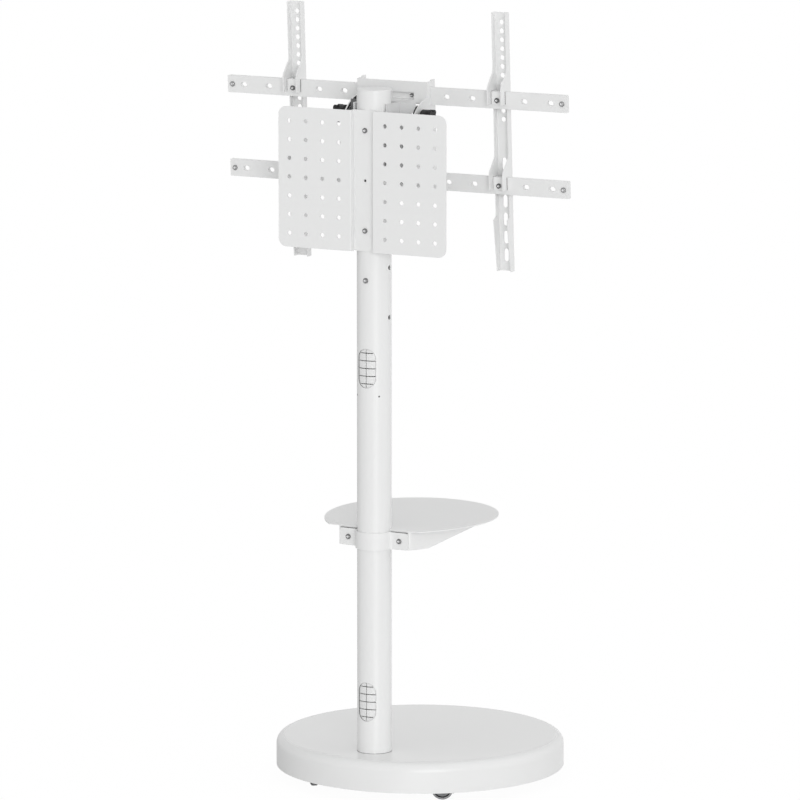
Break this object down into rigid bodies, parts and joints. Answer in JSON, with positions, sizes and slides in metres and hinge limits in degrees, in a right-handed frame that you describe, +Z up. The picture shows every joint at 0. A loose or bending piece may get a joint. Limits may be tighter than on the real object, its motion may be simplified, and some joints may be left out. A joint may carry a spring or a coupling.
{
  "type": "tv stand",
  "caption": "Rolling floor stand for a flat display: round base on casters, upright pole, tilting bracket head with rails, perforated device plate and clamp-on shelf.",
  "frame": {"origin": "on the floor under the centre of the round base", "axes": "+Z up, +Y towards the back (device plate side), -Y towards the display, X along the rails"},
  "size_m": [0.664, 0.504, 1.3567],
  "materials": {
    "white_coat": "satin powder coat",
    "white_plastic": "fine matt",
    "zinc_steel": "zinc plated",
    "dark_steel": "dark primer",
    "black_plastic": "matt",
    "wheel_plastic": "grey tread"
  },
  "bodies": {
    "stand": {"base_shell": "white_coat", "base_weight": "dark_steel", "pole": "white_coat", "pole_cap": "white_plastic", "pole_foot": "dark_steel", "foot_bolts": "zinc_steel", "lower_grommet": "white_plastic", "upper_grommet": "white_plastic", "device_plate": "white_coat", "rear_screws": "zinc_steel", "yoke": "white_coat", "yoke_bolts": "zinc_steel", "yoke_nuts": "zinc_steel", "pivot_bolts": "zinc_steel", "pivot_nuts": "zinc_steel", "knob_nuts": "zinc_steel", "caster_stems": "zinc_steel"},
    "head": {"tilt_frame": "white_coat", "upper_rail": "white_coat", "lower_rail": "white_coat", "rail_bolts": "zinc_steel", "rail_nuts": "zinc_steel", "rail_stop_screws": "zinc_steel", "left_bracket": "white_coat", "right_bracket": "white_coat", "left_lock_plates": "white_coat", "right_lock_plates": "white_coat", "lock_screws": "zinc_steel"},
    "knob_left": {"left_knob": "black_plastic"},
    "knob_right": {"right_knob": "black_plastic"},
    "shelf_unit": {"shelf": "white_coat", "shelf_strap": "white_coat", "shelf_screws": "zinc_steel", "shelf_nuts": "zinc_steel"},
    "caster_1": {"caster_body_1": "black_plastic", "caster_pin_1": "zinc_steel"},
    "wheels_1": {"caster_wheels_1": "wheel_plastic"},
    "caster_2": {"caster_body_2": "black_plastic", "caster_pin_2": "zinc_steel"},
    "wheels_2": {"caster_wheels_2": "wheel_plastic"},
    "caster_3": {"caster_body_3": "black_plastic", "caster_pin_3": "zinc_steel"},
    "wheels_3": {"caster_wheels_3": "wheel_plastic"},
    "caster_4": {"caster_body_4": "black_plastic", "caster_pin_4": "zinc_steel"},
    "wheels_4": {"caster_wheels_4": "wheel_plastic"},
    "caster_5": {"caster_body_5": "black_plastic", "caster_pin_5": "zinc_steel"},
    "wheels_5": {"caster_wheels_5": "wheel_plastic"}
  },
  "joints": [
    {"name": "head_tilt", "type": "hinge", "parent": "stand", "child": "head", "pos_m": [0, 0.106, 1.133], "axis": [1, 0, 0], "range_deg": [-7, 13]},
    {"name": "left_knob_turn", "type": "hinge", "parent": "stand", "child": "knob_left", "pos_m": [0.0689, 0.12817, 1.1739], "axis": [1, 0, 0], "range_deg": [0, 360]},
    {"name": "right_knob_turn", "type": "hinge", "parent": "stand", "child": "knob_right", "pos_m": [-0.0689, 0.12817, 1.1739], "axis": [-1, 0, 0], "range_deg": [0, 360]},
    {"name": "shelf_height", "type": "slide", "parent": "stand", "child": "shelf_unit", "axis": [0, 0, 1], "range_m": [-0.2, 0.24]},
    {"name": "caster_1_swivel", "type": "hinge", "parent": "stand", "child": "caster_1", "pos_m": [-0.11756, 0.1618, 0.048], "axis": [0, 0, 1], "continuous": true},
    {"name": "wheels_1_roll", "type": "hinge", "parent": "caster_1", "child": "wheels_1", "pos_m": [-0.13044, 0.15633, 0.019], "axis": [0.3907, -0.9205, 0], "continuous": true},
    {"name": "caster_2_swivel", "type": "hinge", "parent": "stand", "child": "caster_2", "pos_m": [-0.19021, -0.0618, 0.048], "axis": [0, 0, 1], "continuous": true},
    {"name": "wheels_2_roll", "type": "hinge", "parent": "caster_2", "child": "wheels_2", "pos_m": [-0.19264, -0.04802, 0.019], "axis": [-0.9848, -0.1736, 0], "continuous": true},
    {"name": "caster_3_swivel", "type": "hinge", "parent": "stand", "child": "caster_3", "pos_m": [0, -0.2, 0.048], "axis": [0, 0, 1], "continuous": true},
    {"name": "wheels_3_roll", "type": "hinge", "parent": "caster_3", "child": "wheels_3", "pos_m": [-0.01212, -0.193, 0.019], "axis": [-0.5, -0.866, 0], "continuous": true},
    {"name": "caster_4_swivel", "type": "hinge", "parent": "stand", "child": "caster_4", "pos_m": [0.19021, -0.0618, 0.048], "axis": [0, 0, 1], "continuous": true},
    {"name": "wheels_4_roll", "type": "hinge", "parent": "caster_4", "child": "wheels_4", "pos_m": [0.17874, -0.06983, 0.019], "axis": [0.5736, -0.8192, 0], "continuous": true},
    {"name": "caster_5_swivel", "type": "hinge", "parent": "stand", "child": "caster_5", "pos_m": [0.11756, 0.1618, 0.048], "axis": [0, 0, 1], "continuous": true},
    {"name": "wheels_5_roll", "type": "hinge", "parent": "caster_5", "child": "wheels_5", "pos_m": [0.10766, 0.1717, 0.019], "axis": [-0.7071, -0.7071, 0], "continuous": true}
  ]
}
